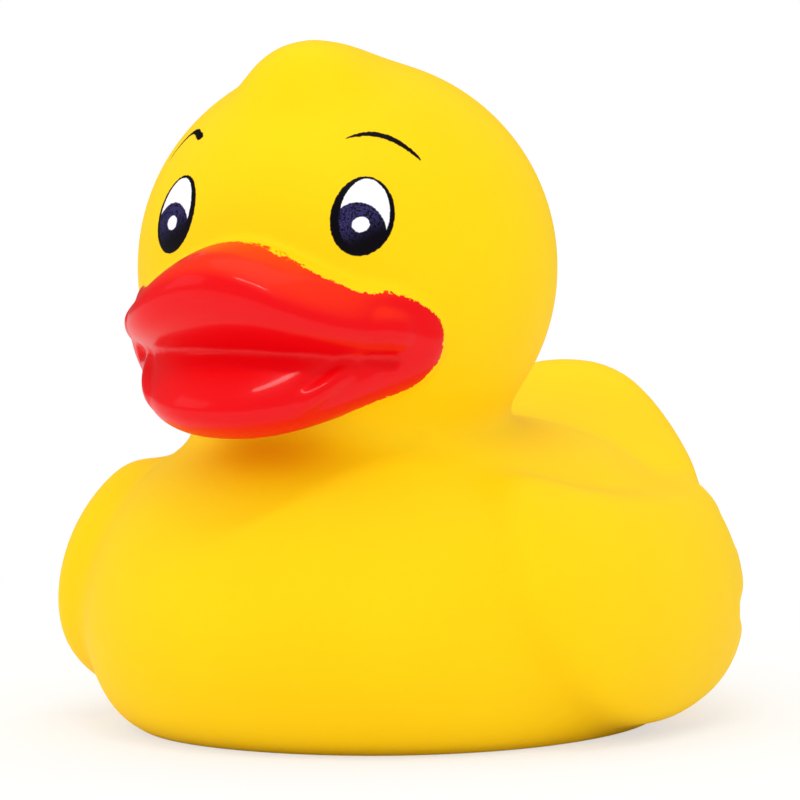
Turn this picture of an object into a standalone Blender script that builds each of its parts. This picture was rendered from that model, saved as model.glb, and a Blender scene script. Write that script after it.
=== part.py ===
"""A bath duck: a hollow vinyl moulding with a squeaker pressed into its base.

The duck looks along -Y, +X is its left side and +Z is up. The origin lies in the plane
that it stands on, below the middle of its length and width.
"""

import math

import bmesh
import bpy
from mathutils import Matrix, Vector

MM = 0.001

# Vinyl moulding
WALL = 2.0 * MM
MESH_STEP = 1.15 * MM
SMOOTHING = 0.5

# Body, measured without the wings
BODY_WIDTH = 67.0 * MM
BODY_LENGTH = 82.0 * MM
BODY_HEIGHT = 34.8 * MM
BELLY_HEIGHT = 13.4 * MM
BODY_FORWARD = 1.3 * MM
SECTION_SQUARENESS = 2.1
RING_POINTS = 32

# Head
HEAD_RADIUS = 23.4 * MM
HEAD_HEIGHT = 51.2 * MM
HEAD_FORWARD = 13.5 * MM
NECK_BLEND = 3.2 * MM

# Crest on the crown
CREST_WIDTH = 17.8 * MM
CREST_RISE = 1.9 * MM
CREST_DEPTH = 9.5 * MM
CREST_FRONT = 16.0 * MM
CREST_BACK = 11.0 * MM
CREST_MIDDLE = 9.0 * MM
CREST_BLEND = 2.6 * MM

# Beak, a painted part of the same moulding
BEAK_REACH = 10.0 * MM
LIP_HEIGHT = 10.0 * MM
MOUTH_DROP = 7.7 * MM
LIP_BLEND = 0.7 * MM

# Wings
WING_PROUD = 4.0 * MM
WING_BLEND = 2.1 * MM
WING_ROUNDING = 2.2 * MM
WING_FRONT_SHARE = 0.6
WING_FADE_REACH = 0.75
WING_TOP_SHARE = 0.5
FEATHER_GROOVE_RADIUS = 2.4 * MM
GROOVE_POINTS = 12

# Tail
TAIL_REACH = 44.7 * MM
TAIL_HEIGHT = 38.4 * MM
TAIL_WIDTH = 46.0 * MM
TAIL_DEPTH = 26.0 * MM
TAIL_SAG = 3.4 * MM
TAIL_ROOT_REACH = 18.2 * MM
TAIL_ROOT_HEIGHT = 19.0 * MM

# Squeaker and its seat in the base
SEAT_GAP = 0.3 * MM
SQUEAKER_RADIUS = 5.0 * MM
SQUEAKER_HEIGHT = 9.0 * MM
FLANGE_RADIUS = 7.5 * MM
FLANGE_THICKNESS = 0.8 * MM
NECK_RADIUS = 5.6 * MM
LIP_OVERHANG = 1.2 * MM
VENT_RADIUS = 0.9 * MM
CHAMBER_RADIUS = 3.3 * MM
CHAMBER_FLOOR = 2.2 * MM
REED_LEDGE = 0.9 * MM
REED_HEIGHT = 6.0 * MM
REED_THICKNESS = 0.4 * MM
REED_WIDTH = 2.6 * MM

# Height of the body's level sections, as a share of the belly below it or of the rest
# above it, with the section's width, front and back as shares of the belly's
BODY_STATIONS = (
    (-1.15, 0.56, 0.52, 0.52),
    (-1.10, 0.775, 0.715, 0.72),
    (-0.98, 0.885, 0.845, 0.85),
    (-0.75, 0.935, 0.91, 0.91),
    (-0.40, 0.985, 0.98, 0.98),
    (0.0, 1.0, 1.0, 1.0),
    (0.35, 0.95, 0.97, 0.97),
    (0.62, 0.82, 0.90, 0.86),
    (0.84, 0.62, 0.80, 0.66),
    (0.96, 0.40, 0.64, 0.42),
    (1.0, 0.12, 0.20, 0.14),
)

# Share of the way to the tail's tip, with half width, half depth and tilt in degrees
TAIL_STATIONS = (
    (0.0, 1.14, 1.0, 0),
    (0.35, 1.12, 0.86, 15),
    (0.6, 0.91, 0.62, 35),
    (0.8, 0.65, 0.42, 45),
    (0.93, 0.43, 0.28, 52),
    (1.0, 0.22, 0.16, 55),
)

# Side outline of the wing: distance behind the middle of the body as a share of its half
# length, and height as a share of the body's. It runs from the shoulder over the top,
# round the feather tips and forward along the lower edge.
WING_OUTLINE = (
    (-0.60, 0.46),
    (-0.60, 0.64),
    (-0.54, 0.78),
    (-0.41, 0.86),
    (-0.25, 0.81),
    (-0.05, 0.77),
    (0.24, 0.755),
    (0.55, 0.765),
    (0.79, 0.77),
    (0.92, 0.70),
    (0.93, 0.52),
    (0.86, 0.38),
    (0.73, 0.26),
    (0.54, 0.16),
    (0.24, 0.07),
    (-0.10, 0.04),
    (-0.33, 0.12),
    (-0.51, 0.27),
)

WING_TIPS = 0.94

# Grooves between the feather tips: where each ends, as a share of the body's half length
# behind its middle, and its height as a share of the body's
FEATHER_GROOVES = (
    (0.50, 0.60),
    (0.40, 0.345),
)

# Degrees round the head from straight ahead, then ten points of the beak's section from
# its top edge over the upper lip, the mouth line and the lower lip to its underside. A
# point is its reach past the head and its rise above the mouth line, as shares.
BEAK_STATIONS = (
    (0, (-0.02, 1.19), (0.42, 1.12), (0.84, 1), (0.95, 0.8), (0.84, 0.42),
     (0.5, 0.0), (0.64, -0.28), (0.96, -0.54), (0.97, -0.78), (0.36, -0.97)),
    (9, (-0.02, 1.13), (0.38, 1.04), (0.8, 0.9), (0.91, 0.7), (0.8, 0.36),
     (0.48, -0.01), (0.6, -0.28), (0.88, -0.52), (0.88, -0.76), (0.34, -0.95)),
    (18, (-0.02, 0.99), (0.32, 0.84), (0.7, 0.62), (0.83, 0.44), (0.72, 0.22),
     (0.4, -0.03), (0.48, -0.26), (0.66, -0.48), (0.66, -0.7), (0.24, -0.89)),
    (28, (-0.01, 0.81), (0.2, 0.64), (0.44, 0.4), (0.54, 0.24), (0.46, 0.1),
     (0.24, -0.04), (0.27, -0.2), (0.34, -0.38), (0.28, -0.57), (0.06, -0.73)),
    (36, (0.0, 0.73), (0.15, 0.59), (0.27, 0.37), (0.3, 0.2), (0.21, 0.08),
     (0.07, -0.03), (0.1, -0.17), (0.1, -0.32), (0.03, -0.47), (-0.12, -0.61)),
    (44, (-0.01, 0.68), (0.1, 0.54), (0.13, 0.36), (0.12, 0.2), (0.08, 0.09),
     (0.02, 0.01), (0.05, -0.11), (0.01, -0.24), (-0.07, -0.38), (-0.18, -0.51)),
    (51, (-0.06, 0.53), (0.06, 0.44), (0.1, 0.31), (0.1, 0.18), (0.09, 0.09),
     (0.08, 0.03), (0.07, -0.07), (0.03, -0.18), (-0.05, -0.29), (-0.18, -0.41)),
    (57, (-0.16, 0.31), (-0.08, 0.27), (-0.03, 0.19), (0.0, 0.12), (0.0, 0.08),
     (0.0, 0.04), (-0.01, -0.01), (-0.03, -0.08), (-0.07, -0.14), (-0.16, -0.21)),
)
BEAK_ROOT = 6.0 * MM


def clear_scene():
    for obj in list(bpy.data.objects):
        bpy.data.objects.remove(obj)


def new_collection(name, parent):
    collection = bpy.data.collections.new(name)
    parent.children.link(collection)
    return collection


def new_object(name, shape, collection):
    mesh = bpy.data.meshes.new(name)
    shape.to_mesh(mesh)
    shape.free()
    obj = bpy.data.objects.new(name, mesh)
    collection.objects.link(obj)
    return obj


def add_modifier(obj, kind, **settings):
    modifier = obj.modifiers.new(kind.lower(), kind)
    for key, value in settings.items():
        setattr(modifier, key, value)
    return modifier


def add_material(obj, name, colour, roughness):
    material = bpy.data.materials.new(name)
    material.use_nodes = True
    shader = material.node_tree.nodes["Principled BSDF"]
    shader.inputs["Base Color"].default_value = (*colour, 1)
    shader.inputs["Roughness"].default_value = roughness
    material.diffuse_color = (*colour, 1)
    obj.data.materials.append(material)


def loft(name, rings, collection, levels):
    """A closed form through rings of points, rounded by subdivision."""
    shape = bmesh.new()
    loops = []
    for ring in rings:
        verts = [shape.verts.new(point) for point in ring]
        loops.append([shape.edges.new(pair) for pair in zip(verts, verts[1:] + verts[:1])])
    for first, second in zip(loops, loops[1:]):
        bmesh.ops.bridge_loops(shape, edges=first + second)
    for end in (loops[0], loops[-1]):
        bmesh.ops.contextual_create(shape, geom=end)
    bmesh.ops.recalc_face_normals(shape, faces=shape.faces)
    obj = new_object(name, shape, collection)
    add_modifier(obj, "SUBSURF", levels=levels, render_levels=levels)
    return obj


def slab(name, top, collection):
    """Everything from well below the duck up to one height, as a cutter."""
    size = 2 * (BODY_LENGTH + BODY_WIDTH)
    shape = bmesh.new()
    bmesh.ops.create_cube(shape, size=size)
    bmesh.ops.translate(shape, vec=(0, 0, top - size / 2), verts=shape.verts)
    return new_object(name, shape, collection)


def cylinder(name, radius, bottom, top, collection):
    shape = bmesh.new()
    bmesh.ops.create_cone(
        shape, cap_ends=True, segments=48, radius1=radius, radius2=radius, depth=top - bottom
    )
    bmesh.ops.translate(shape, vec=(0, 0, (top + bottom) / 2), verts=shape.verts)
    return new_object(name, shape, collection)


def body_form(name, collection, extra, extra_at_front=1):
    """The body alone, grown by extra, as ovals with their own front and back reach."""
    power = 2 / SECTION_SQUARENESS
    rings = []
    for share, width_share, front_share, back_share in BODY_STATIONS:
        reach = BELLY_HEIGHT if share < 0 else BODY_HEIGHT - BELLY_HEIGHT
        growth = extra if extra < 0 else WING_TOP_SHARE * extra * (share > 0)
        height = BELLY_HEIGHT + share * (reach + growth)
        ring = []
        for step in range(RING_POINTS):
            angle = math.tau * (step + 0.5) / RING_POINTS
            across = math.copysign(abs(math.cos(angle)) ** power, math.cos(angle))
            along = math.copysign(abs(math.sin(angle)) ** power, math.sin(angle))
            fade = math.sqrt(min(max(along / WING_FADE_REACH + 1, 0), 1))
            grown = extra * (extra_at_front + (1 - extra_at_front) * fade)
            reach_x = (BODY_WIDTH / 2 + grown) * width_share * across
            end_share = back_share if along > 0 else front_share
            reach_y = (BODY_LENGTH / 2 + grown) * end_share * along
            ring.append(Vector((reach_x, reach_y - BODY_FORWARD, height)))
        rings.append(ring)
    return loft(name, rings, collection, 2)


def head_centre():
    return Vector((0, -HEAD_FORWARD, HEAD_HEIGHT))


def head_form(name, collection, extra):
    shape = bmesh.new()
    bmesh.ops.create_uvsphere(shape, u_segments=64, v_segments=32, radius=HEAD_RADIUS + extra)
    bmesh.ops.translate(shape, vec=head_centre(), verts=shape.verts)
    return new_object(name, shape, collection)


def crest_form(name, collection):
    """The small quiff on the crown, steep in front and running out behind."""
    shape = bmesh.new()
    bmesh.ops.create_uvsphere(shape, u_segments=48, v_segments=24, radius=1)
    height = HEAD_RADIUS + CREST_RISE - CREST_DEPTH
    for vert in shape.verts:
        x, y, z = vert.co
        reach = CREST_FRONT - CREST_MIDDLE if y < 0 else CREST_BACK + CREST_MIDDLE
        offset = (x * CREST_WIDTH / 2, y * reach - CREST_MIDDLE, height + z * CREST_DEPTH)
        vert.co = head_centre() + Vector(offset)
    return new_object(name, shape, collection)


def tail_form(name, collection, extra):
    """The fan of the tail, swept up from inside the body to its tip."""
    root = Vector((0, TAIL_ROOT_REACH, TAIL_ROOT_HEIGHT))
    tip = Vector((0, TAIL_REACH + extra, TAIL_HEIGHT + extra))
    rings = []
    for share, width_share, depth_share, tilt in TAIL_STATIONS:
        centre = root.lerp(tip, share)
        centre.z -= TAIL_SAG * math.sin(math.pi * share)
        half_width = TAIL_WIDTH / 2 * width_share + extra
        half_depth = max(TAIL_DEPTH / 2 * depth_share + extra, 0.1 * WALL)
        ring = []
        for step in range(RING_POINTS):
            angle = math.tau * (step + 0.5) / RING_POINTS
            point = Vector((half_width * math.cos(angle), 0, half_depth * math.sin(angle)))
            point.rotate(Matrix.Rotation(math.radians(tilt), 3, "X"))
            ring.append(centre + point)
        rings.append(ring)
    return loft(name, rings, collection, 2)


def wing_form(name, collection, skin):
    """Both wings: a slab of the wing's side outline, kept where it lies in the skin."""
    curve = bpy.data.curves.new(name, "CURVE")
    curve.dimensions = "2D"
    curve.fill_mode = "BOTH"
    curve.extrude = BODY_WIDTH
    curve.resolution_u = 4
    spline = curve.splines.new("BEZIER")
    spline.bezier_points.add(len(WING_OUTLINE) - 1)
    for point, (back_share, height_share) in zip(spline.bezier_points, WING_OUTLINE):
        back = back_share * BODY_LENGTH / 2 - BODY_FORWARD
        point.co = (back, height_share * BODY_HEIGHT, 0)
        point.handle_left_type = "AUTO"
        point.handle_right_type = "AUTO"
    spline.use_cyclic_u = True
    side_view = Matrix(((0, 0, 1, 0), (1, 0, 0, 0), (0, 1, 0, 0), (0, 0, 0, 1)))
    shape = curve_shape(curve, collection)
    bmesh.ops.transform(shape, matrix=side_view, verts=shape.verts)
    obj = new_object(name, shape, collection)
    add_modifier(obj, "BOOLEAN", operation="INTERSECT", object=skin)
    soften(obj, WING_ROUNDING, MESH_STEP)
    return obj


def wing_reach(back, height):
    """Half the width over the wings, at a place along the duck and a height."""
    rise = max(height - BELLY_HEIGHT, 0) / (BODY_HEIGHT - BELLY_HEIGHT)
    level = math.sqrt(1 - rise ** 2)
    share = abs(back + BODY_FORWARD) / (level * (BODY_LENGTH / 2 + WING_PROUD))
    oval = (1 - min(share, 1) ** SECTION_SQUARENESS) ** (1 / SECTION_SQUARENESS)
    return (BODY_WIDTH / 2 + WING_PROUD) * level * oval


def feather_groove_forms(collection):
    """Grooves between the feather tips, fading out forward along each wing."""
    tips = WING_TIPS * BODY_LENGTH / 2 - BODY_FORWARD
    for side in (-1, 1):
        for index, (end_share, height_share) in enumerate(FEATHER_GROOVES):
            height = height_share * BODY_HEIGHT
            end = end_share * BODY_LENGTH / 2 - BODY_FORWARD
            curve = bpy.data.curves.new("feather_groove", "CURVE")
            curve.dimensions = "3D"
            curve.bevel_depth = FEATHER_GROOVE_RADIUS
            curve.bevel_resolution = 3
            curve.use_fill_caps = True
            spline = curve.splines.new("POLY")
            spline.points.add(GROOVE_POINTS - 1)
            for step, point in enumerate(spline.points):
                share = step / (GROOVE_POINTS - 1)
                back = end + (tips - end) * share
                point.co = (side * wing_reach(back, height), back, height, 1)
                point.radius = max(math.sqrt(share), 0.1)
            shape = curve_shape(curve, collection)
            new_object(f"feather_groove_{index}_{side}", shape, collection)


def curve_shape(curve, collection):
    """The closed mesh of a curve, in the curve's own axes."""
    guide = bpy.data.objects.new("guide", curve)
    collection.objects.link(guide)
    bpy.context.view_layer.update()
    view = bpy.context.evaluated_depsgraph_get()
    shape = bmesh.new()
    shape.from_mesh(bpy.data.meshes.new_from_object(guide.evaluated_get(view)))
    bpy.data.objects.remove(guide)
    bmesh.ops.remove_doubles(shape, verts=shape.verts, dist=0.001 * MM)
    bmesh.ops.recalc_face_normals(shape, faces=shape.faces)
    return shape


def beak_form(name, collection):
    """The parted bill, one upright section for each direction round the head."""
    mirrored = [(-angle, *points) for angle, *points in BEAK_STATIONS[:0:-1]]
    rings = []
    for degrees, *points in mirrored + list(BEAK_STATIONS):
        angle = math.radians(degrees)
        section = [
            (HEAD_RADIUS + BEAK_REACH * reach, LIP_HEIGHT * rise - MOUTH_DROP)
            for reach, rise in points
        ]
        top, bottom = section[0], section[-1]
        section.insert(0, (top[0] - BEAK_ROOT, top[1]))
        section.append((bottom[0] - BEAK_ROOT, bottom[1]))
        ring = [
            head_centre() + Vector((radius * math.sin(angle), -radius * math.cos(angle), height))
            for radius, height in section
        ]
        rings.append(ring)
    return loft(name, rings, collection, 3)


def soften(obj, softness, step):
    """Rounds edges and hollows of about the size of the softness."""
    repeats = round(2 * (softness / step) ** 2 / SMOOTHING)
    add_modifier(obj, "REMESH", mode="VOXEL", voxel_size=step)
    add_modifier(obj, "SMOOTH", factor=SMOOTHING, iterations=repeats)


def blend(obj, forms, softness, step):
    """Joins a collection of forms to an object and softens the joints between them."""
    add_modifier(
        obj, "BOOLEAN", operation="UNION", operand_type="COLLECTION", collection=forms
    )
    soften(obj, softness, step)


def build_cavity(forms):
    """The hollow inside the moulding: the main forms less the wall, over a flat floor."""
    joined = new_collection("cavity_forms", forms)
    head_form("cavity_head", joined, -WALL)
    tail_form("cavity_tail", joined, -WALL)
    cavity = body_form("cavity", forms, -WALL)
    blend(cavity, joined, NECK_BLEND, 1.5 * MESH_STEP)
    add_modifier(cavity, "DECIMATE", ratio=0.14)
    floor = slab("cavity_floor", WALL, forms)
    add_modifier(cavity, "BOOLEAN", operation="DIFFERENCE", object=floor)
    seat = cylinder("seat_boss", seat_radius() + WALL, 0, seat_depth() + WALL, forms)
    add_modifier(cavity, "BOOLEAN", operation="DIFFERENCE", object=seat)
    return cavity


def seat_radius():
    return FLANGE_RADIUS + SEAT_GAP


def seat_depth():
    return SEAT_GAP + FLANGE_THICKNESS + SEAT_GAP


def build_shell(parts, forms):
    """The one moulding: body, head, tail, crest, wings and beak round a hollow."""
    soft = new_collection("soft_forms", forms)
    crown = new_collection("crown_forms", forms)
    relief = new_collection("relief_forms", forms)
    grooves = new_collection("feather_grooves", forms)
    crisp = new_collection("crisp_forms", forms)
    head_form("head", soft, 0)
    tail_form("tail", soft, 0)
    crest_form("crest", crown)
    skin = body_form("wing_skin", forms, WING_PROUD, WING_FRONT_SHARE)
    wing_form("wings", relief, skin)
    feather_groove_forms(grooves)
    beak_form("beak", crisp)
    shell = body_form("duck_shell", parts, 0)
    blend(shell, soft, NECK_BLEND, MESH_STEP)
    blend(shell, crown, CREST_BLEND, MESH_STEP)
    blend(shell, relief, WING_BLEND, MESH_STEP)
    add_modifier(
        shell, "BOOLEAN", operation="DIFFERENCE", operand_type="COLLECTION", collection=grooves
    )
    blend(shell, crisp, LIP_BLEND, MESH_STEP)
    add_modifier(shell, "DECIMATE", ratio=0.165)
    cutters = (
        slab("ground", 0, forms),
        build_cavity(forms),
        cylinder("squeaker_seat", seat_radius(), -WALL, seat_depth(), forms),
        cylinder("squeaker_hole", NECK_RADIUS + SEAT_GAP, -WALL, BELLY_HEIGHT, forms),
    )
    for cutter in cutters:
        add_modifier(shell, "BOOLEAN", operation="DIFFERENCE", object=cutter)
    add_material(shell, "yellow_vinyl", (1.0, 0.68, 0.01), 0.45)
    return shell


def turned(name, profile, collection):
    """A closed profile of radius and height, turned about the upright axis."""
    shape = bmesh.new()
    verts = [shape.verts.new((radius, 0, height)) for radius, height in profile]
    for pair in zip(verts, verts[1:] + verts[:1]):
        shape.edges.new(pair)
    obj = new_object(name, shape, collection)
    add_modifier(
        obj, "SCREW", steps=48, render_steps=48, use_merge_vertices=True,
        merge_threshold=0.01 * MM,
    )
    return obj


def build_squeaker(parts):
    """The plastic plug: a flange below the base, a neck in its hole and a lip inside."""
    flange_top = SEAT_GAP + FLANGE_THICKNESS
    lip = seat_depth() + WALL + SEAT_GAP
    lip_radius = NECK_RADIUS + LIP_OVERHANG
    lip_taper = lip + LIP_OVERHANG
    profile = (
        (SQUEAKER_RADIUS, SQUEAKER_HEIGHT),
        (SQUEAKER_RADIUS, lip_taper + LIP_OVERHANG),
        (lip_radius, lip_taper),
        (lip_radius, lip),
        (NECK_RADIUS, lip),
        (NECK_RADIUS, flange_top),
        (FLANGE_RADIUS, flange_top),
        (FLANGE_RADIUS, SEAT_GAP),
        (VENT_RADIUS, SEAT_GAP),
        (VENT_RADIUS, CHAMBER_FLOOR),
        (CHAMBER_RADIUS - REED_LEDGE, CHAMBER_FLOOR),
        (CHAMBER_RADIUS - REED_LEDGE, REED_HEIGHT),
        (CHAMBER_RADIUS, REED_HEIGHT),
        (CHAMBER_RADIUS, SQUEAKER_HEIGHT),
    )
    squeaker = turned("squeaker", profile, parts)
    add_material(squeaker, "white_plastic", (0.8, 0.8, 0.78), 0.4)


def build_reed(parts):
    """The strip that sounds, across the ledge inside the squeaker."""
    half_length = math.sqrt((CHAMBER_RADIUS - SEAT_GAP) ** 2 - (REED_WIDTH / 2) ** 2)
    shape = bmesh.new()
    bmesh.ops.create_cube(shape, size=1)
    bmesh.ops.scale(
        shape, vec=(2 * half_length, REED_WIDTH, REED_THICKNESS), verts=shape.verts
    )
    height = REED_HEIGHT + SEAT_GAP + REED_THICKNESS / 2
    bmesh.ops.translate(shape, vec=(0, 0, height), verts=shape.verts)
    reed = new_object("squeaker_reed", shape, parts)
    add_material(reed, "clear_film", (0.7, 0.75, 0.8), 0.25)


def build_duck():
    clear_scene()
    parts = new_collection("bath_duck", bpy.context.scene.collection)
    forms = new_collection("cutters", bpy.context.scene.collection)
    shell = build_shell(parts, forms)
    build_squeaker(parts)
    build_reed(parts)
    for obj in forms.all_objects:
        obj.hide_render = True
        obj.display_type = "WIRE"
    for obj in parts.objects:
        obj.data.shade_smooth()
        obj.data.set_sharp_from_angle(angle=math.radians(35))
    return shell


build_duck()
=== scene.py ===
import math

import bmesh
import bpy
import numpy as np
from mathutils import Matrix, Vector


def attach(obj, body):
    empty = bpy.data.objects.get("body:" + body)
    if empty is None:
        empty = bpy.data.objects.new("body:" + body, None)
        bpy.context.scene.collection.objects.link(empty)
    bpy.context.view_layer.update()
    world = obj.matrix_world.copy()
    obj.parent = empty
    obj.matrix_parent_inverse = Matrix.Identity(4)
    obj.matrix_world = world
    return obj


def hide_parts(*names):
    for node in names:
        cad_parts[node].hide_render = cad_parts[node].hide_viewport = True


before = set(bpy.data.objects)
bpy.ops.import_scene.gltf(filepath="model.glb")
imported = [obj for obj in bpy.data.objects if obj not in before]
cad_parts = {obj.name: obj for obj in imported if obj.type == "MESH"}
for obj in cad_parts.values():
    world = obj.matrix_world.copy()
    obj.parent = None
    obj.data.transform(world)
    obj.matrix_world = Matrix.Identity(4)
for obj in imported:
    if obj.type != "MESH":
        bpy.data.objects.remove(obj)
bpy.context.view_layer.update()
mm = 0.001

# The duck looks along -Y, its left side is +X, and it stands on Z 0. Sizes are in mm.


def newObject(name, shape):
    mesh = bpy.data.meshes.new(name)
    shape.to_mesh(mesh)
    shape.free()
    obj = bpy.data.objects.new(name, mesh)
    bpy.context.scene.collection.objects.link(obj)
    return obj


def addModifier(obj, kind, **settings):
    modifier = obj.modifiers.new(kind.lower(), kind)
    for key, value in settings.items():
        setattr(modifier, key, value)
    return modifier


# The mesh with its modifiers applied; the helper object goes
def finished(obj):
    bpy.context.view_layer.update()
    view = bpy.context.evaluated_depsgraph_get()
    shape = bmesh.new()
    shape.from_mesh(bpy.data.meshes.new_from_object(obj.evaluated_get(view)))
    bpy.data.objects.remove(obj)
    return shape


def joined(shapes):
    whole = shapes[0]
    for shape in shapes[1:]:
        mesh = bpy.data.meshes.new("part")
        shape.to_mesh(mesh)
        shape.free()
        whole.from_mesh(mesh)
    return whole


# Overlapping closed forms become one skin, and the joints between them run soft
def fuse(shapes, voxel, softness):
    obj = newObject("fused", joined(shapes))
    addModifier(obj, "REMESH", mode="VOXEL", voxel_size=voxel * mm)
    repeats = round(4 * (softness / voxel) ** 2)
    addModifier(obj, "SMOOTH", factor=0.5, iterations=repeats)
    return finished(obj)


def loft(rings, levels):
    shape = bmesh.new()
    loops = []
    for ring in rings:
        verts = [shape.verts.new(point * mm) for point in ring]
        loops.append([shape.edges.new(pair) for pair in zip(verts, verts[1:] + verts[:1])])
    for first, second in zip(loops, loops[1:]):
        bmesh.ops.bridge_loops(shape, edges=first + second)
    for end in (loops[0], loops[-1]):
        bmesh.ops.contextual_create(shape, geom=end)
    bmesh.ops.recalc_face_normals(shape, faces=shape.faces)
    obj = newObject("loft", shape)
    addModifier(obj, "SUBSURF", levels=levels, render_levels=levels)
    return finished(obj)


# Body: level ovals, each (height share, width, front, back) of the belly's
body = {
    "width": 67.0, "length": 82.0, "height": 34.8, "belly": 13.4, "forward": 1.3,
    "squareness": 2.1, "points": 32, "topShare": 0.5, "fadeReach": 0.75,
    "levels": (
        (-1.15, 0.56, 0.52, 0.52), (-1.10, 0.775, 0.715, 0.72), (-0.98, 0.885, 0.845, 0.85),
        (-0.75, 0.935, 0.91, 0.91), (-0.40, 0.985, 0.98, 0.98), (0.0, 1.0, 1.0, 1.0),
        (0.35, 0.95, 0.97, 0.97), (0.62, 0.82, 0.91, 0.86), (0.84, 0.63, 0.84, 0.66),
        (0.96, 0.42, 0.70, 0.42), (1.0, 0.14, 0.28, 0.14),
    ),
}


# Grown by extra, of which the front gets frontShare and the top its own share
def bodyForm(extra, frontShare=1.0):
    power = 2 / body["squareness"]
    rings = []
    for share, width, front, back in body["levels"]:
        reach = body["belly"] if share < 0 else body["height"] - body["belly"]
        growth = extra if extra < 0 else body["topShare"] * extra * (share > 0)
        height = body["belly"] + share * (reach + growth)
        ring = []
        for step in range(body["points"]):
            angle = math.tau * (step + 0.5) / body["points"]
            across = math.copysign(abs(math.cos(angle)) ** power, math.cos(angle))
            along = math.copysign(abs(math.sin(angle)) ** power, math.sin(angle))
            fade = min(max((along + body["fadeReach"]) / body["fadeReach"], 0), 1) ** 0.5
            grown = extra * (frontShare + (1 - frontShare) * fade)
            reachY = (body["length"] / 2 + grown) * (back if along > 0 else front)
            reachX = (body["width"] / 2 + grown) * width
            ring.append(Vector((reachX * across, reachY * along - body["forward"], height)))
        rings.append(ring)
    return loft(rings, 3)


head = {"radius": 23.4, "height": 51.2, "forward": 13.5, "neckBlend": 3.2}
headCentre = Vector((0, -head["forward"], head["height"]))


def headForm(extra):
    shape = bmesh.new()
    radius = (head["radius"] + extra) * mm
    bmesh.ops.create_uvsphere(shape, u_segments=96, v_segments=48, radius=radius)
    bmesh.ops.translate(shape, vec=headCentre * mm, verts=shape.verts)
    return shape


# Quiff on the crown, steep in front and running out behind
crest = {"width": 17.8, "rise": 1.9, "depth": 9.5, "front": 16, "back": 11, "middle": 9,
         "blend": 2.6}


def crestForm():
    shape = bmesh.new()
    bmesh.ops.create_uvsphere(shape, u_segments=64, v_segments=32, radius=1)
    lift = head["radius"] + crest["rise"] - crest["depth"]
    for vert in shape.verts:
        x, y, z = vert.co
        reach = crest["front"] - crest["middle"] if y < 0 else crest["back"] + crest["middle"]
        place = Vector((x * crest["width"] / 2, y * reach - crest["middle"],
                        lift + z * crest["depth"]))
        vert.co = (headCentre + place) * mm
    return shape


# Tail fan: share of the way to the tip, half width, half depth, tilt
tail = {
    "reach": 44.7, "height": 38.4, "width": 46, "depth": 26, "sag": 3.4,
    "rootReach": 18.2, "rootHeight": 19, "thinnest": 0.2,
    "stations": ((0.0, 1.14, 1.0, 0), (0.35, 1.12, 0.86, 15), (0.6, 0.91, 0.62, 35),
                 (0.8, 0.65, 0.42, 45), (0.93, 0.43, 0.28, 52), (1.0, 0.22, 0.16, 55)),
}


def tailForm(extra):
    root = Vector((0, tail["rootReach"], tail["rootHeight"]))
    tip = Vector((0, tail["reach"] + extra, tail["height"] + extra))
    rings = []
    for share, width, depth, tilt in tail["stations"]:
        centre = root.lerp(tip, share)
        centre.z -= tail["sag"] * math.sin(math.pi * share)
        halfWidth = tail["width"] / 2 * width + extra
        halfDepth = max(tail["depth"] / 2 * depth + extra, tail["thinnest"])
        ring = []
        for step in range(body["points"]):
            angle = math.tau * (step + 0.5) / body["points"]
            point = Vector((halfWidth * math.cos(angle), 0, halfDepth * math.sin(angle)))
            point.rotate(Matrix.Rotation(math.radians(tilt), 3, "X"))
            ring.append(centre + point)
        rings.append(ring)
    return loft(rings, 3)


# Wings: side outline as shares of the body's half length behind its middle and its height
wing = {
    "proud": 4.0, "blend": 2.1, "rounding": 2.2, "frontShare": 0.6,
    "outline": ((-0.60, 0.46), (-0.60, 0.64), (-0.54, 0.78), (-0.41, 0.86), (-0.25, 0.81),
                (-0.05, 0.77), (0.24, 0.755), (0.55, 0.765), (0.79, 0.77), (0.92, 0.70),
                (0.93, 0.52), (0.86, 0.38), (0.73, 0.26), (0.54, 0.16), (0.24, 0.07),
                (-0.10, 0.04), (-0.33, 0.12), (-0.51, 0.27)),
    "tips": 0.94, "grooves": ((0.50, 0.60), (0.40, 0.345)),
    "grooveWidth": 2.8, "grooveDepth": 1.7, "groovePoints": 12,
}


def wingForm():
    curve = bpy.data.curves.new("wing", "CURVE")
    curve.dimensions = "2D"
    curve.fill_mode = "BOTH"
    curve.extrude = body["width"] * mm
    curve.resolution_u = 8
    spline = curve.splines.new("BEZIER")
    spline.bezier_points.add(len(wing["outline"]) - 1)
    for point, (back, height) in zip(spline.bezier_points, wing["outline"]):
        along = back * body["length"] / 2 - body["forward"]
        point.co = (along * mm, height * body["height"] * mm, 0)
        point.handle_left_type = "AUTO"
        point.handle_right_type = "AUTO"
    spline.use_cyclic_u = True
    guide = bpy.data.objects.new("wing", curve)
    bpy.context.scene.collection.objects.link(guide)
    shape = finished(guide)
    bmesh.ops.remove_doubles(shape, verts=shape.verts, dist=0.001 * mm)
    sideView = Matrix(((0, 0, 1, 0), (1, 0, 0, 0), (0, 1, 0, 0), (0, 0, 0, 1)))
    bmesh.ops.transform(shape, matrix=sideView, verts=shape.verts)
    bmesh.ops.recalc_face_normals(shape, faces=shape.faces)
    wings = newObject("wings", shape)
    skin = newObject("skin", bodyForm(wing["proud"], frontShare=wing["frontShare"]))
    addModifier(wings, "BOOLEAN", operation="INTERSECT", object=skin)
    shape = finished(wings)
    bpy.data.objects.remove(skin)
    return fuse([shape], moulding["softVoxel"], wing["rounding"])


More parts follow.
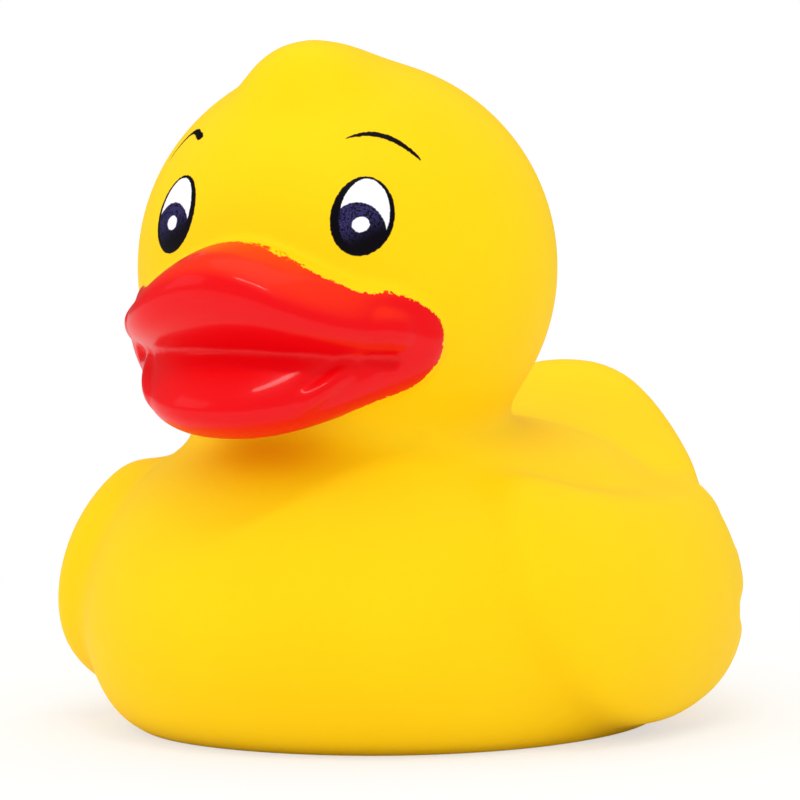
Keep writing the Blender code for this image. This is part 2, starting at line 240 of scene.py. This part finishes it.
# How far from the middle plane the wing's skin lies, at a place behind the middle
def wingReach(back, height):
    rise = max(height - body["belly"], 0) / (body["height"] - body["belly"])
    level = math.sqrt(1 - rise ** 2)
    share = abs(back + body["forward"]) / (level * (body["length"] / 2 + wing["proud"]))
    oval = (1 - min(share, 1) ** body["squareness"]) ** (1 / body["squareness"])
    return (body["width"] / 2 + wing["proud"]) * level * oval


# Beak: degrees round the head, then the section from its top edge over the upper lip,
# the mouth line and the lower lip to its underside, as shares of reach and lip height
beak = {
    "reach": 10.0, "lip": 10.0, "mouthDrop": 7.7, "root": 6.0, "blend": 0.7,
    "stations": (
        (0, (-0.02, 1.19), (0.42, 1.12), (0.82, 1), (0.96, 0.76),
         (0.88, 0.38), (0.5, 0.07), (0.38, 0.0), (0.46, -0.06),
         (0.88, -0.5), (0.9, -0.76), (0.5, -0.97)),
        (9, (-0.02, 1.13), (0.38, 1.04), (0.8, 0.88), (0.92, 0.64),
         (0.84, 0.32), (0.48, 0.06), (0.36, -0.01), (0.44, -0.07),
         (0.82, -0.48), (0.84, -0.74), (0.46, -0.95)),
        (18, (-0.02, 0.99), (0.32, 0.84), (0.7, 0.62), (0.84, 0.42),
         (0.74, 0.2), (0.4, 0.02), (0.31, -0.03), (0.36, -0.08),
         (0.6, -0.44), (0.61, -0.65), (0.32, -0.86)),
        (28, (-0.01, 0.81), (0.2, 0.64), (0.44, 0.42), (0.55, 0.25),
         (0.47, 0.1), (0.27, -0.01), (0.2, -0.05), (0.22, -0.1),
         (0.3, -0.38), (0.26, -0.57), (0.04, -0.71)),
        (36, (0.0, 0.73), (0.13, 0.59), (0.2, 0.4), (0.3, 0.2),
         (0.24, 0.07), (0.12, -0.04), (0.07, -0.08), (0.09, -0.12),
         (0.12, -0.35), (0.02, -0.5), (-0.2, -0.63)),
        (44, (-0.01, 0.68), (0.05, 0.55), (0.09, 0.4), (0.14, 0.24),
         (0.15, 0.1), (0.1, -0.01), (0.08, -0.07), (0.08, -0.13),
         (0.02, -0.32), (-0.1, -0.44), (-0.27, -0.54)),
        (51, (-0.05, 0.53), (0.01, 0.42), (0.05, 0.3), (0.08, 0.18),
         (0.09, 0.08), (0.08, 0.02), (0.07, -0.03), (0.06, -0.08),
         (-0.01, -0.22), (-0.1, -0.33), (-0.25, -0.43)),
        (57, (-0.16, 0.31), (-0.1, 0.27), (-0.06, 0.2), (-0.04, 0.13),
         (-0.04, 0.08), (-0.045, 0.05), (-0.05, 0.02), (-0.055, -0.01),
         (-0.09, -0.08), (-0.13, -0.15), (-0.22, -0.22)),
    ),
    # Paths of (degrees, reach, rise) with the width and depth that they are pressed in,
    # or raised where the depth is negative: the groove and the ridge on the lower lip, the
    # seam into the mouth's corner, and the swelling above it
    "creases": (
        (((29, 0.21, -0.07), (26, 0.30, -0.15), (22.5, 0.44, -0.26), (19, 0.56, -0.37)),
         1.4, lambda share: 0.4 * math.sin(math.pi * share)),
        (((30, 0.19, -0.13), (27, 0.27, -0.24), (24, 0.38, -0.36), (20.5, 0.52, -0.5),
          (18.5, 0.58, -0.6)), 1.7, lambda share: -0.55 * math.sin(math.pi * share) ** 0.7),
        (((34, 0.10, -0.07), (37, 0.07, -0.09), (40, 0.09, -0.11)),
         1.2, lambda share: 0.3 + 0.25 * share),
        (((38, 0.19, 0.24), (41, 0.13, 0.2)), 2.6, -0.55),
    ),
}


def beakForm():
    mirrored = [(-angle, *points) for angle, *points in beak["stations"][:0:-1]]
    rings = []
    for degrees, *points in mirrored + list(beak["stations"]):
        angle = math.radians(degrees)
        section = [(head["radius"] + beak["reach"] * reach,
                    beak["lip"] * rise - beak["mouthDrop"]) for reach, rise in points]
        section.insert(0, (section[0][0] - beak["root"], section[0][1]))
        section.append((section[-1][0] - beak["root"], section[-1][1]))
        ring = [headCentre + Vector((radius * math.sin(angle), -radius * math.cos(angle), height))
                for radius, height in section]
        rings.append(ring)
    return loft(rings, 3)


# A place on the beak, from its angle and its shares of reach and lip height
def beakSpot(degrees, reach, rise):
    angle = math.radians(degrees)
    radius = head["radius"] + beak["reach"] * reach
    return headCentre + Vector((radius * math.sin(angle), -radius * math.cos(angle),
                                beak["lip"] * rise - beak["mouthDrop"]))


# Pushes the skin in (or out, with a negative depth) along a line of points
def press(shape, path, width, depth):
    shape.normal_update()
    verts = list(shape.verts)
    places = np.array([vert.co for vert in verts]) / mm
    nearest = np.full(len(verts), 1e9)
    along = np.zeros(len(verts))
    path = [np.array(point) for point in path]
    for index, (start, end) in enumerate(zip(path, path[1:])):
        line = end - start
        share = np.clip((places - start) @ line / (line @ line), 0, 1)
        distance = np.linalg.norm(places - start - share[:, None] * line, axis=1)
        closer = distance < nearest
        nearest[closer] = distance[closer]
        along[closer] = ((index + share) / (len(path) - 1))[closer]
    for index in np.nonzero(nearest < width)[0]:
        fade = (1 - (nearest[index] / width) ** 2) ** 2
        amount = depth(along[index]) if callable(depth) else depth
        verts[index].co -= verts[index].normal * (fade * amount * mm)


def bottomRing(shape, height):
    geometry = shape.verts[:] + shape.edges[:] + shape.faces[:]
    cut = bmesh.ops.bisect_plane(shape, geom=geometry, plane_co=(0, 0, height * mm),
                                 plane_no=(0, 0, 1), clear_inner=True)
    return [part for part in cut["geom_cut"] if isinstance(part, bmesh.types.BMEdge)]


# Fills between a rim and a circle, then turns the circle up through (radius, height) steps
def floorWithHole(shape, rim, radius, height, steps):
    ring = bmesh.ops.create_circle(shape, segments=96, radius=radius * mm)["verts"]
    bmesh.ops.translate(shape, vec=(0, 0, height * mm), verts=ring)
    edges = list({edge for vert in ring for edge in vert.link_edges})
    bmesh.ops.triangle_fill(shape, edges=rim + edges, use_beauty=True, normal=(0, 0, -1))
    for nextRadius, nextHeight in steps:
        new = bmesh.ops.extrude_edge_only(shape, edges=edges)["geom"]
        verts = [part for part in new if isinstance(part, bmesh.types.BMVert)]
        edges = [part for part in new if isinstance(part, bmesh.types.BMEdge)]
        scale = nextRadius / radius
        bmesh.ops.scale(shape, vec=(scale, scale, 1), verts=verts)
        bmesh.ops.translate(shape, vec=(0, 0, (nextHeight - height) * mm), verts=verts)
        radius, height = nextRadius, nextHeight


moulding = {
    "wall": 2.0, "softVoxel": 0.6, "crispVoxel": 0.32, "hollowVoxel": 1.7,
    "keptShare": 0.3, "weldGap": 0.01,
    "seatRadius": 7.8, "seatDepth": 1.4, "holeRadius": 5.9,
}


def outerSkin():
    skin = fuse([bodyForm(0), headForm(0), tailForm(0)], moulding["softVoxel"],
                head["neckBlend"])
    skin = fuse([skin, crestForm()], moulding["softVoxel"], crest["blend"])
    skin = fuse([skin, wingForm()], moulding["softVoxel"], wing["blend"])
    for side in (-1, 1):
        for endShare, heightShare in wing["grooves"]:
            height = heightShare * body["height"]
            end = endShare * body["length"] / 2 - body["forward"]
            tips = wing["tips"] * body["length"] / 2 - body["forward"]
            path = []
            for step in range(wing["groovePoints"]):
                back = end + (tips - end) * step / (wing["groovePoints"] - 1)
                path.append((side * wingReach(back, height), back, height))
            press(skin, path, wing["grooveWidth"],
                  lambda share: wing["grooveDepth"] * share ** 0.5)
    skin = fuse([skin, beakForm()], moulding["crispVoxel"], beak["blend"])
    for side in (-1, 1):
        for path, width, depth in beak["creases"]:
            spots = [beakSpot(side * degrees, reach, rise) for degrees, reach, rise in path]
            press(skin, spots, width, depth)
    return skin


print("duck: outer skin")
skin = outerSkin()
print("duck: outer skin faces", len(skin.faces))
obj = newObject("skin", skin)
addModifier(obj, "DECIMATE", ratio=moulding["keptShare"])
skin = finished(obj)
rim = bottomRing(skin, 0)
floorWithHole(skin, rim, moulding["seatRadius"], 0,
              ((moulding["seatRadius"], moulding["seatDepth"]),
               (moulding["holeRadius"], moulding["seatDepth"]),
               (moulding["holeRadius"], moulding["seatDepth"] + moulding["wall"])))

print("duck: hollow")
wall = moulding["wall"]
hollow = fuse([bodyForm(-wall), headForm(-wall), tailForm(-wall)],
              moulding["hollowVoxel"], head["neckBlend"])
obj = newObject("hollow", hollow)
addModifier(obj, "DECIMATE", ratio=moulding["keptShare"])
hollow = finished(obj)
rim = bottomRing(hollow, wall)
floorWithHole(hollow, rim, moulding["seatRadius"] + wall, wall,
              ((moulding["seatRadius"] + wall, moulding["seatDepth"] + wall),
               (moulding["holeRadius"], moulding["seatDepth"] + wall)))
skin = joined([skin, hollow])
bmesh.ops.remove_doubles(skin, verts=skin.verts, dist=moulding["weldGap"] * mm)
bmesh.ops.triangulate(skin, faces=skin.faces)
bmesh.ops.recalc_face_normals(skin, faces=skin.faces)
print("duck: triangles", len(skin.faces),
      "open edges", sum(not edge.is_manifold for edge in skin.edges))
skinObject = newObject("duckMoulding", skin)
mesh = skinObject.data


# Painted face, in mm round the head (left side positive) and up, from the head's centre
face = {
    "beakEdge": ((0.0, 3.6), (2.8, 3.1), (5.4, 2.1), (7.7, 0.9), (9.9, -0.3), (12.1, -1.3),
                 (14.4, -1.6), (16.4, -1.6), (17.9, -2.0), (19.3, -2.7), (20.8, -3.7),
                 (21.9, -4.8), (22.3, -6.0), (22.2, -7.4), (21.6, -9.0), (20.4, -10.6),
                 (18.4, -11.8), (15.4, -12.4), (12.1, -12.8), (8.0, -14.4), (0.0, -15.8)),
    "eyeHalf": (3.65, 4.45),
    # Centre and lean of each eye, then its white, dark patch and light dot, each as
    # (across, up, half width, half height) from that centre
    "eyes": (((13.35, 6.65), 0.11, (0.2, 0.1, 2.85, 4.03), (-0.7, -2.65, 3.6, 4.1),
              (-0.13, -1.02, 0.98, 0.84)),
             ((-11.6, 6.5), 0.0, (-0.18, 0.12, 2.95, 4.0), (-0.3, -2.9, 3.7, 4.15),
              (-0.1, -1.05, 0.95, 0.8))),
    # Points along each brow, half its thickness and how fast the ends taper
    "brows": ((((11.17, 15.81), (14.94, 16.48), (18.53, 15.39), (21.24, 13.07)),
               0.6, 1.6, 0.2),
              (((-12.88, 15.85), (-16.07, 16.48), (-19.02, 15.05), (-20.29, 12.42)),
               0.62, 8.0, 0.3)),
}


# Distance to the closed outline in mm, above 0 inside
def insideOutline(places, outline):
    nearest = np.full(len(places), 1e9)
    inside = np.zeros(len(places), bool)
    for start, end in zip(outline, outline[1:] + outline[:1]):
        start, end = np.array(start), np.array(end)
        line = end - start
        share = np.clip((places - start) @ line / (line @ line), 0, 1)
        distance = np.linalg.norm(places - start - share[:, None] * line, axis=1)
        nearest = np.minimum(nearest, distance)
        crosses = (start[1] > places[:, 1]) != (end[1] > places[:, 1])
        with np.errstate(divide="ignore", invalid="ignore"):
            at = start[0] + (places[:, 1] - start[1]) * line[0] / line[1]
        inside ^= crosses & (places[:, 0] < at)
    return np.where(inside, nearest, -nearest)


def addFaceMap(mesh):
    places = np.empty(len(mesh.vertices) * 3, np.float32)
    mesh.vertices.foreach_get("co", places)
    x, y, z = (places.reshape(-1, 3) / mm - np.array(headCentre)).T
    level = np.hypot(x, y)
    turn = head["radius"] * np.arctan2(x, -y)
    rise = head["radius"] * np.arctan2(z, level)
    faceMap = mesh.attributes.new("faceMap", "FLOAT_VECTOR", "POINT")
    flat = np.stack([turn, rise, np.sqrt(level ** 2 + z ** 2)], axis=1).astype(np.float32)
    faceMap.data.foreach_set("vector", flat.ravel())
    outline = list(face["beakEdge"]) + [(-a, b) for a, b in face["beakEdge"][-2:0:-1]]
    paint = insideOutline(np.stack([turn, rise], axis=1), outline)
    beakPaint = mesh.attributes.new("beakPaint", "FLOAT", "POINT")
    beakPaint.data.foreach_set("value", paint.astype(np.float32))


addFaceMap(mesh)


# One conversion from an sRGB hex colour to Blender's linear colour
def colour(code):
    parts = [int(code[place:place + 2], 16) / 255 for place in (1, 3, 5)]
    linear = [part / 12.92 if part <= 0.04045 else ((part + 0.055) / 1.055) ** 2.4
              for part in parts]
    return (*linear, 1.0)


# Adds a node: inputs holds constants or other nodes' output sockets
def addNode(tree, kind, inputs=None, **settings):
    node = tree.nodes.new(kind)
    for key, value in settings.items():
        setattr(node, key, value)
    for key, value in (inputs or {}).items():
        if isinstance(value, bpy.types.NodeSocket):
            tree.links.new(value, node.inputs[key])
        else:
            node.inputs[key].default_value = value
    return node


def newMaterial(name):
    material = bpy.data.materials.new(name)
    material.use_nodes = True
    tree = material.node_tree
    return material, tree, tree.nodes["Principled BSDF"]


# Slush-moulded soft PVC, sprayed and printed: a satin yellow skin with fine grain, thick
# glossy red on the beak, and rougher black and white print for the eyes and brows
# Two of these colours are painted light: the orange-red on the beak's upward faces is partly
# painted top light, and the bluish eye colour is a painted reflection
finish = {
    "yellow": "#FFD80C", "yellowDeep": "#FFC800", "red": "#EC000A", "redThinAndTopLight": "#F82A06",
    "black": "#0B0710", "eyePaintedReflection": "#342E62", "brow": "#0E080C", "white": "#F4F4FA",
    "satin": 0.6, "gloss": 0.1, "print": 0.42,
    "specular": 0.1, "coat": 0.24, "printWobble": 0.22,
    "grainSize": 0.35, "sprayRagged": 0.35, "printMargin": 0.1, "paintEdge": 0.14,
    "printEdge": 0.1, "whiteEdge": 0.08,
}


def duckMaterial():
    material, tree, shader = newMaterial("mouldedPvcSprayed")
    place = addNode(tree, "ShaderNodeTexCoord").outputs["Object"]
    faceMap = addNode(tree, "ShaderNodeAttribute", attribute_name="faceMap").outputs["Vector"]
    axes = addNode(tree, "ShaderNodeSeparateXYZ", {0: faceMap})
    turn, rise = axes.outputs[0], axes.outputs[1]

    def maths(operation, *values):
        node = addNode(tree, "ShaderNodeMath", dict(enumerate(values)), operation=operation)
        return node.outputs[0]

    def noise(size, detail=2.0):
        node = addNode(tree, "ShaderNodeTexNoise",
                       {"Vector": place, "Scale": 1 / (size * mm), "Detail": detail})
        return node.outputs["Fac"]

    # 1 where the value in mm is above 0, over a soft edge of that width
    def edge(value, width):
        node = addNode(tree, "ShaderNodeMapRange",
                       {"Value": value, "From Min": -width / 2, "From Max": width / 2},
                       interpolation_type="SMOOTHSTEP")
        return node.outputs[0]

    def mixed(share, first, second):
        node = addNode(tree, "ShaderNodeMix", {0: share, 6: first, 7: second},
                       data_type="RGBA", clamp_factor=True)
        return node.outputs[2]

    ragged = maths("SUBTRACT", noise(finish["sprayRagged"], 3.0), 0.5)
    coarse = maths("SUBTRACT", noise(1.6, 1.0), 0.5)
    beakPaint = addNode(tree, "ShaderNodeAttribute", attribute_name="beakPaint").outputs["Fac"]
    rough = maths("MULTIPLY_ADD", ragged, 0.9, maths("MULTIPLY", coarse, 0.8))
    red = edge(maths("ADD", beakPaint, rough), finish["paintEdge"])

    # Distance in mm inside an ellipse with a hand-printed wobble
    def oval(across, up, x, y, halfX, halfY):
        partX = maths("DIVIDE", maths("SUBTRACT", across, x), halfX)
        partY = maths("DIVIDE", maths("SUBTRACT", up, y), halfY)
        length = maths("SQRT", maths("ADD", maths("MULTIPLY", partX, partX),
                                     maths("MULTIPLY", partY, partY)))
        inside = maths("MULTIPLY", maths("SUBTRACT", 1.0, length), min(halfX, halfY))
        return maths("ADD", inside, maths("MULTIPLY", ragged, finish["printWobble"]))

    # A tapered stroke along the cubic through its points
    def stroke(points, half, startTaper, endTaper):
        first, last = points[0][0], points[-1][0]
        cubic = np.polyfit([a - first for a, b in points], [b for a, b in points], 3)
        across = maths("SUBTRACT", turn, first)
        middle = float(cubic[0])
        for term in cubic[1:]:
            middle = maths("MULTIPLY_ADD", middle, across, float(term))
        share = maths("DIVIDE", across, last - first)
        rising = maths("MINIMUM", maths("POWER", maths("MAXIMUM", share, 0.0), 0.5), 1.0)
        rising = maths("MINIMUM", maths("MULTIPLY", rising, startTaper ** 0.5), 1.0)
        falling = maths("POWER", maths("MAXIMUM", maths("SUBTRACT", 1.0, share), 0.0), endTaper)
        reach = maths("MULTIPLY", maths("MULTIPLY", rising, falling), half)
        slope = float(cubic[0]) * 3
        for term in (cubic[1] * 2, cubic[2]):
            slope = maths("MULTIPLY_ADD", slope, across, float(term))
        length = maths("SQRT", maths("MULTIPLY_ADD", slope, slope, 1.0))
        away = maths("DIVIDE", maths("ABSOLUTE", maths("SUBTRACT", rise, middle)), length)
        within = maths("SUBTRACT", reach, maths("ADD", away, finish["printMargin"]))
        return maths("ADD", within, maths("MULTIPLY", ragged, finish["printWobble"] * 1.4))

    tint = maths("MULTIPLY_ADD", noise(14.0, 1.0), 0.5, 0.1)
    base = mixed(tint, colour(finish["yellow"]), colour(finish["yellowDeep"]))
    normal = addNode(tree, "ShaderNodeNewGeometry").outputs["Normal"]
    upward = addNode(tree, "ShaderNodeSeparateXYZ", {0: normal}).outputs[2]
    # Orange-red where the beak faces up near its top: partly thinner paint, partly painted top
    # light and a painted reflection of the yellow head
    thinAndTopLight = maths("MULTIPLY", edge(maths("SUBTRACT", upward, 0.55), 0.5),
                 edge(maths("ADD", rise, 4.5), 2.5))
    base = mixed(red, base, mixed(thinAndTopLight, colour(finish["red"]), colour(finish["redThinAndTopLight"])))
    printed = red
    for points, half, startTaper, endTaper in face["brows"]:
        brow = edge(stroke(points, half, startTaper, endTaper), finish["paintEdge"])
        base = mixed(brow, base, colour(finish["brow"]))
        printed = maths("MAXIMUM", printed, brow)
    speckle = edge(maths("SUBTRACT", noise(0.2, 1.0), 0.46), 0.16)
    for centre, lean, ring, patch, dot in face["eyes"]:
        across = maths("SUBTRACT", turn, centre[0])
        up = maths("SUBTRACT", rise, centre[1])
        across = maths("MULTIPLY_ADD", up, -lean, across)
        whole = edge(oval(across, up, 0, 0, *face["eyeHalf"]), finish["printEdge"])
        white = edge(oval(across, up, *ring), finish["whiteEdge"])
        cover = edge(oval(across, up, *patch), finish["printEdge"])
        spot = edge(oval(across, up, *dot), finish["printEdge"])
        # The pupil colour, laid in speckles over the dark print towards the lit top of each eye,
        # is a painted reflection of the light, not ink
        lit = edge(maths("ADD", maths("ADD", up, maths("MULTIPLY", across, -0.5)), 1.6), 3.4)
        paintedReflection = maths("MULTIPLY", maths("MULTIPLY", speckle, white), lit)
        dark = mixed(paintedReflection, colour(finish["black"]), colour(finish["eyePaintedReflection"]))
        showing = maths("MULTIPLY", white, maths("SUBTRACT", 1.0, cover))
        showing = maths("MAXIMUM", showing, spot)
        base = mixed(whole, base, mixed(showing, dark, colour(finish["white"])))
        printed = maths("MAXIMUM", printed, whole)

    tree.links.new(base, shader.inputs["Base Color"])
    satin = maths("MULTIPLY_ADD", noise(0.8, 2.0), 0.1, finish["satin"] - 0.05)
    surface = addNode(tree, "ShaderNodeMix", {0: printed, 2: satin, 3: finish["print"]})
    tree.links.new(surface.outputs[0], shader.inputs["Roughness"])
    shader.inputs["IOR"].default_value = 1.5
    shader.inputs["Specular IOR Level"].default_value = finish["specular"]
    tree.links.new(maths("MULTIPLY", red, finish["coat"]), shader.inputs["Coat Weight"])
    shader.inputs["Coat Roughness"].default_value = finish["gloss"]
    grain = maths("MULTIPLY", noise(finish["grainSize"], 3.0),
                  maths("SUBTRACT", 1.0, maths("MULTIPLY", red, 0.9)))
    bump = addNode(tree, "ShaderNodeBump", {"Strength": 0.35, "Distance": 0.05 * mm,
                                            "Height": grain})
    tree.links.new(bump.outputs[0], shader.inputs["Normal"])
    return material


mesh.materials.append(duckMaterial())
mesh.shade_smooth()
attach(skinObject, "root")
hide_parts("duck_shell")

# Squeaker: injection-moulded polythene, milky, with the faint flow marks of its mould
print("squeaker")
plug = {
    "white": "#E9E8E2", "flow": "#DAD9D0", "rough": 0.38, "flowSize": 3.5, "ease": 0.15,
    "profile": ((5, 9), (5, 6.1), (6.8, 4.9), (6.8, 3.7), (5.6, 3.7), (5.6, 1.1), (7.5, 1.1),
                (7.5, 0.3), (0.9, 0.3), (0.9, 2.2), (2.4, 2.2), (2.4, 6), (3.3, 6), (3.3, 9)),
}


def plugMaterial():
    material, tree, shader = newMaterial("mouldedPolythene")
    place = addNode(tree, "ShaderNodeTexCoord").outputs["Object"]
    flow = addNode(tree, "ShaderNodeTexNoise", {"Vector": place, "Detail": 2.0,
                                                "Scale": 1 / (plug["flowSize"] * mm)})
    tint = addNode(tree, "ShaderNodeMix", {0: flow.outputs["Fac"], 6: colour(plug["white"]),
                                           7: colour(plug["flow"])}, data_type="RGBA")
    tree.links.new(tint.outputs[2], shader.inputs["Base Color"])
    rough = addNode(tree, "ShaderNodeMath", {0: flow.outputs["Fac"], 1: 0.12,
                                             2: plug["rough"] - 0.06},
                    operation="MULTIPLY_ADD")
    tree.links.new(rough.outputs[0], shader.inputs["Roughness"])
    shader.inputs["IOR"].default_value = 1.51
    return material


# Reed: clear drawn polyester film, glossy, with drawing lines along the strip
print("reed")
reed = {"clear": "#DCE6EE", "line": "#C4D2DE", "rough": 0.15, "lineSize": 0.12}


def reedMaterial():
    material, tree, shader = newMaterial("drawnPolyesterFilm")
    place = addNode(tree, "ShaderNodeTexCoord").outputs["Object"]
    along = addNode(tree, "ShaderNodeVectorMath", {0: place, 1: (0.05, 1.0, 1.0)},
                    operation="MULTIPLY")
    lines = addNode(tree, "ShaderNodeTexNoise", {"Vector": along.outputs["Vector"],
                                                 "Scale": 1 / (reed["lineSize"] * mm)})
    tint = addNode(tree, "ShaderNodeMix", {0: lines.outputs["Fac"], 6: colour(reed["clear"]),
                                           7: colour(reed["line"])}, data_type="RGBA")
    tree.links.new(tint.outputs[2], shader.inputs["Base Color"])
    shader.inputs["Roughness"].default_value = reed["rough"]
    shader.inputs["IOR"].default_value = 1.57
    return material


# Turns a closed profile of (radius, height) about the upright axis and eases its edges
def turned(profile, ease):
    shape = bmesh.new()
    verts = [shape.verts.new((radius * mm, 0, height * mm)) for radius, height in profile]
    edges = [shape.edges.new(pair) for pair in zip(verts, verts[1:] + verts[:1])]
    bmesh.ops.spin(shape, geom=verts + edges, cent=(0, 0, 0), axis=(0, 0, 1),
                   angle=math.tau, steps=96, use_merge=True)
    bmesh.ops.recalc_face_normals(shape, faces=shape.faces)
    sharp = [edge for edge in shape.edges if edge.calc_face_angle(0) > math.radians(20)]
    bmesh.ops.bevel(shape, geom=sharp, offset=ease * mm, segments=3, profile=0.5,
                    affect="EDGES", material=-1)
    return shape


plugObject = newObject("squeakerPlug", turned(plug["profile"], plug["ease"]))
plugObject.data.materials.append(plugMaterial())
plugObject.data.shade_smooth()
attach(plugObject, "root")
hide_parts("squeaker")

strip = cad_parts["squeaker_reed"]
strip.data.materials.clear()
strip.data.materials.append(reedMaterial())

# Camera on the photograph's line of sight
view = {"azimuth": 28, "elevation": 4, "distance": 600, "target": (0.22, -1.69, 35.85),
        "pixelsPerMm": 8.94, "frame": 800, "sensor": 36}
turn, lift = math.radians(view["azimuth"]), math.radians(view["elevation"])
back = Vector((math.sin(turn) * math.cos(lift), -math.cos(turn) * math.cos(lift),
               math.sin(lift)))
camera = bpy.data.objects.new("camera", bpy.data.cameras.new("camera"))
bpy.context.scene.collection.objects.link(camera)
camera.location = (Vector(view["target"]) + back * view["distance"]) * mm
camera.rotation_euler = (-back).to_track_quat("-Z", "Y").to_euler()
camera.data.sensor_width = view["sensor"]
camera.data.lens = view["sensor"] * view["distance"] / (view["frame"] / view["pixelsPerMm"])
camera.data.clip_start = 0.01
bpy.context.scene.camera = camera
bpy.context.scene.view_settings.view_transform = "Standard"

# Studio: white surround, a long narrow lamp high in front, whose reflection is the streak on
# the lower lip, and large soft lamps on top and at the side. Floor distances are in metres
studio = {
    "surround": 0.95, "glossLow": 0.12, "glossHigh": 0.04, "glossTop": 0.7,
    "aim": (0, 0, 35), "floorRadius": 2, "floor": "#F8F8F8", "floorRough": 0.9,
    "glowFrom": 0.04, "glowTo": 0.16, "glowNear": 0.6,
    "lamps": (("above", (150, -250, 520), 0.5, (240, 40)),
              ("top", (-20, 60, 560), 0.28, (420, 420)),
              ("side", (-430, -400, 290), 0.36, (420, 300))),
}


def addLamp(name, place, power, size):
    lamp = bpy.data.lights.new(name, "AREA")
    lamp.shape = "RECTANGLE"
    lamp.size, lamp.size_y = size[0] * mm, size[1] * mm
    lamp.energy = power
    obj = bpy.data.objects.new(name, lamp)
    bpy.context.scene.collection.objects.link(obj)
    obj.location = Vector(place) * mm
    aim = Vector(studio["aim"]) - Vector(place)
    obj.rotation_euler = aim.to_track_quat("-Z", "Y").to_euler()


for lamp in studio["lamps"]:
    addLamp(*lamp)

world = bpy.data.worlds.new("studio")
bpy.context.scene.world = world
world.use_nodes = True
tree = world.node_tree
ray = addNode(tree, "ShaderNodeLightPath")
way = addNode(tree, "ShaderNodeTexCoord").outputs["Generated"]
height = addNode(tree, "ShaderNodeSeparateXYZ", {0: way}).outputs[2]
gloss = addNode(tree, "ShaderNodeMapRange", {"Value": height, "From Min": 0.0,
                                             "From Max": studio["glossTop"],
                                             "To Min": studio["glossLow"],
                                             "To Max": studio["glossHigh"]},
                interpolation_type="SMOOTHSTEP")
strength = addNode(tree, "ShaderNodeMix", {0: ray.outputs["Is Glossy Ray"],
                                           2: studio["surround"], 3: gloss.outputs[0]})
seen = addNode(tree, "ShaderNodeMath", {0: ray.outputs["Is Camera Ray"],
                                        1: ray.outputs["Is Transmission Ray"]},
               operation="MAXIMUM")
strength = addNode(tree, "ShaderNodeMix", {0: seen.outputs[0], 2: strength.outputs[0], 3: 1.0})
surround = tree.nodes["Background"]
surround.inputs["Color"].default_value = colour("#FFFFFF")
tree.links.new(strength.outputs[0], surround.inputs["Strength"])

# Floor: white paper that glows for the camera, least near the duck, so that the shadow shows
# there and the rest meets the backdrop
shape = bmesh.new()
bmesh.ops.create_circle(shape, cap_ends=True, segments=64, radius=studio["floorRadius"])
floor = newObject("floor", shape)
material, tree, shader = newMaterial("paperSweep")
shader.inputs["Base Color"].default_value = colour(studio["floor"])
shader.inputs["Roughness"].default_value = studio["floorRough"]
place = addNode(tree, "ShaderNodeTexCoord").outputs["Object"]
distance = addNode(tree, "ShaderNodeVectorMath", {0: place}, operation="LENGTH")
away = addNode(tree, "ShaderNodeMapRange", {"Value": distance.outputs["Value"],
                                            "From Min": studio["glowFrom"],
                                            "From Max": studio["glowTo"],
                                            "To Min": studio["glowNear"], "To Max": 1.0},
               interpolation_type="SMOOTHSTEP")
ray = addNode(tree, "ShaderNodeLightPath").outputs["Is Camera Ray"]
share = addNode(tree, "ShaderNodeMath", {0: away.outputs[0], 1: ray}, operation="MULTIPLY")
glow = addNode(tree, "ShaderNodeEmission", {"Color": colour("#FFFFFF"), "Strength": 1.0})
both = addNode(tree, "ShaderNodeMixShader", {0: share.outputs[0], 1: shader.outputs[0],
                                             2: glow.outputs[0]})
tree.links.new(both.outputs[0], tree.nodes["Material Output"].inputs["Surface"])
floor.data.materials.append(material)
